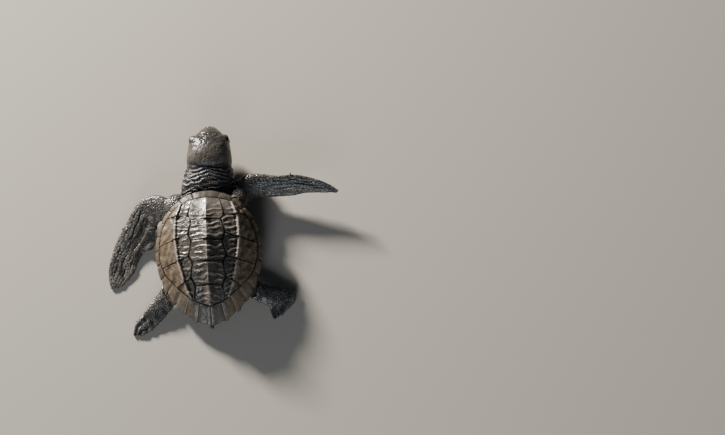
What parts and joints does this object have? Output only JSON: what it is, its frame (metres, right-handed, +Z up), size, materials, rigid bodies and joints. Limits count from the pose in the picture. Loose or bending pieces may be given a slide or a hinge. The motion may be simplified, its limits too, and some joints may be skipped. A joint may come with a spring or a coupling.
{
  "type": "loggerhead turtle hatchling",
  "caption": "Crawling loggerhead turtle hatchling with a keeled heart-shaped shell, scaly head and neck, and four paddle-like flippers.",
  "frame": {"origin": "on the floor, under the middle of the shell's length, at the centre of the plastron's flat underside", "axes": "the turtle faces -Y, its left side is +X, and +Z is up from the floor"},
  "size_m": [0.0809, 0.0714, 0.0186],
  "materials": {
    "back_scute": "dark horn, dull with a slight sheen",
    "edge_scute": "brown-grey horn, dull with a slight sheen",
    "plastron": "pale brown horn, dull",
    "skin": "scaly skin, dull",
    "beak": "smooth horn",
    "claw": "smooth horn",
    "eye": "wet black"
  },
  "bodies": {
    "root": {"arm_front_left": "skin", "arm_front_right": "skin", "claw_front_left": "claw", "claw_front_right": "claw", "claw_hind_left": "claw", "claw_hind_right": "claw", "eye_left": "eye", "eye_right": "eye", "flipper_front_left": "skin", "flipper_front_right": "skin", "flipper_hind_left": "skin", "flipper_hind_right": "skin", "head": "skin", "lower_beak": "beak", "neck": "skin", "plastron": "plastron", "scute_costal_left_1": "back_scute", "scute_costal_left_2": "back_scute", "scute_costal_left_3": "back_scute", "scute_costal_left_4": "back_scute", "scute_costal_left_5": "back_scute", "scute_costal_right_1": "back_scute", "scute_costal_right_2": "back_scute", "scute_costal_right_3": "back_scute", "scute_costal_right_4": "back_scute", "scute_costal_right_5": "back_scute", "scute_marginal_left_1": "edge_scute", "scute_marginal_left_10": "edge_scute", "scute_marginal_left_11": "edge_scute", "scute_marginal_left_12": "edge_scute", "scute_marginal_left_2": "edge_scute", "scute_marginal_left_3": "edge_scute", "scute_marginal_left_4": "edge_scute", "scute_marginal_left_5": "edge_scute", "scute_marginal_left_6": "edge_scute", "scute_marginal_left_7": "edge_scute", "scute_marginal_left_8": "edge_scute", "scute_marginal_left_9": "edge_scute", "scute_marginal_right_1": "edge_scute", "scute_marginal_right_10": "edge_scute", "scute_marginal_right_11": "edge_scute", "scute_marginal_right_12": "edge_scute", "scute_marginal_right_2": "edge_scute", "scute_marginal_right_3": "edge_scute", "scute_marginal_right_4": "edge_scute", "scute_marginal_right_5": "edge_scute", "scute_marginal_right_6": "edge_scute", "scute_marginal_right_7": "edge_scute", "scute_marginal_right_8": "edge_scute", "scute_marginal_right_9": "edge_scute", "scute_nuchal": "edge_scute", "scute_vertebral_1": "back_scute", "scute_vertebral_2": "back_scute", "scute_vertebral_3": "back_scute", "scute_vertebral_4": "back_scute", "scute_vertebral_5": "back_scute", "tail": "skin", "trunk": "skin", "upper_beak": "beak"}
  },
  "joints": []
}
